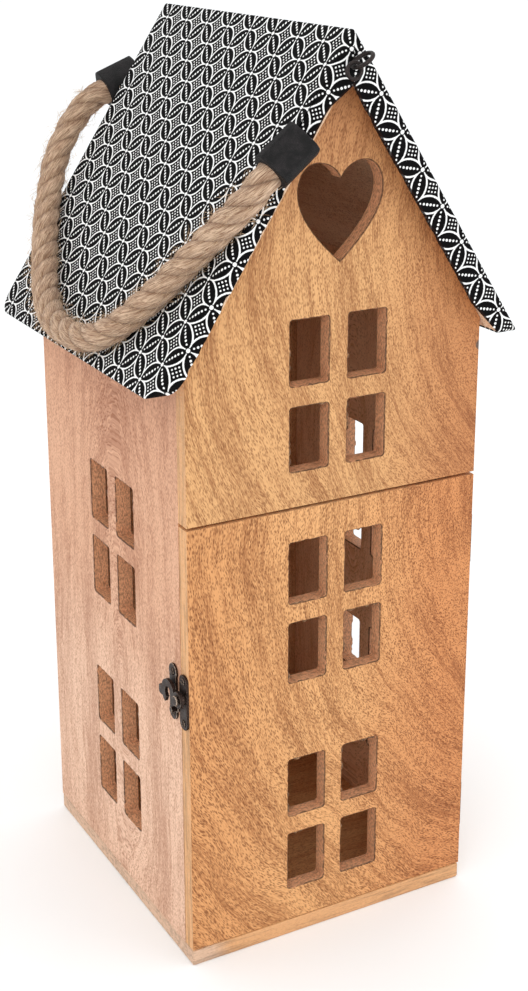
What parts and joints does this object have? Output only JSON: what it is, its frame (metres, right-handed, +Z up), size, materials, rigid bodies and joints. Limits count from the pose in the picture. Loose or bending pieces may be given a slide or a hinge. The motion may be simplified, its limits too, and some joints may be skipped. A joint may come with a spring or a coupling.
{
  "type": "house-shaped candle lantern",
  "caption": "Tall wooden house lantern with window and heart cut-outs, a hinged latched door, a cloth-covered gable roof, a rope handle and a hanging ring.",
  "frame": {"origin": "centre of the base board's underside", "axes": "+Z up, -Y towards the door side, +X towards the hinged side, where the door's hinges are"},
  "size_m": [0.1912, 0.2123, 0.4265],
  "materials": {
    "pale_wood": "sanded, oiled pinkish pale hardwood",
    "golden_wood": "sanded, oiled golden hardwood with flecked grain",
    "roof_wood": "sanded hardwood",
    "printed_cloth": "black cloth with a white petal and dot print, glued tight",
    "dark_bronze": "dark antique bronze plating, worn on raised edges",
    "dark_iron": "blackened wire and nails",
    "black_leather": "matte black leather",
    "jute_rope": "twisted jute, hairy"
  },
  "bodies": {
    "body": {"base_board": "pale_wood", "left_wall": "pale_wood", "right_wall": "pale_wood", "back_panel": "pale_wood", "front_gable_panel": "golden_wood", "roof_board_left": "roof_wood", "roof_board_right": "roof_wood", "roof_cover": "printed_cloth", "hinge_lower_wall_leaf": "dark_bronze", "hinge_lower_pin": "dark_bronze", "hinge_upper_wall_leaf": "dark_bronze", "hinge_upper_pin": "dark_bronze", "hinge_lower_wall_screw_low": "dark_bronze", "hinge_lower_wall_screw_high": "dark_bronze", "hinge_upper_wall_screw_low": "dark_bronze", "hinge_upper_wall_screw_high": "dark_bronze", "latch_keeper": "dark_bronze", "latch_keeper_screw_low": "dark_bronze", "latch_keeper_screw_high": "dark_bronze", "cuff_nail_front": "dark_iron", "cuff_nail_back": "dark_iron", "hanger_eye": "dark_iron"},
    "door": {"door_panel": "golden_wood", "hinge_lower_door_leaf": "dark_bronze", "hinge_upper_door_leaf": "dark_bronze", "hinge_lower_door_screw_low": "dark_bronze", "hinge_lower_door_screw_high": "dark_bronze", "hinge_upper_door_screw_low": "dark_bronze", "hinge_upper_door_screw_high": "dark_bronze", "latch_door_plate": "dark_bronze", "latch_door_screw_low": "dark_bronze", "latch_door_screw_high": "dark_bronze", "latch_hook_pin": "dark_bronze"},
    "latch_hook": {"latch_hook": "dark_bronze"},
    "handle": {"handle_rope": "jute_rope", "handle_cuff_front": "black_leather", "handle_cuff_back": "black_leather"},
    "hanger_ring": {"hanger_ring": "dark_iron"}
  },
  "joints": [
    {"name": "door_swing", "type": "hinge", "parent": "body", "child": "door", "pos_m": [0.0767, -0.07225, 0.1133], "axis": [0, 0, 1], "range_deg": [0, 165]},
    {"name": "latch_hook_turn", "type": "hinge", "parent": "door", "child": "latch_hook", "pos_m": [-0.0784, -0.07625, 0.1375], "axis": [1, 0, 0], "range_deg": [-13, 75]},
    {"name": "handle_swing", "type": "hinge", "parent": "body", "child": "handle", "pos_m": [-0.02643, 0, 0.37572], "axis": [0, 1, 0], "range_deg": [0, 130]},
    {"name": "hanger_ring_swing", "type": "hinge", "parent": "body", "child": "hanger_ring", "pos_m": [-0.00385, -0.09545, 0.41129], "axis": [0, 1, 0], "range_deg": [-120, 120]}
  ]
}
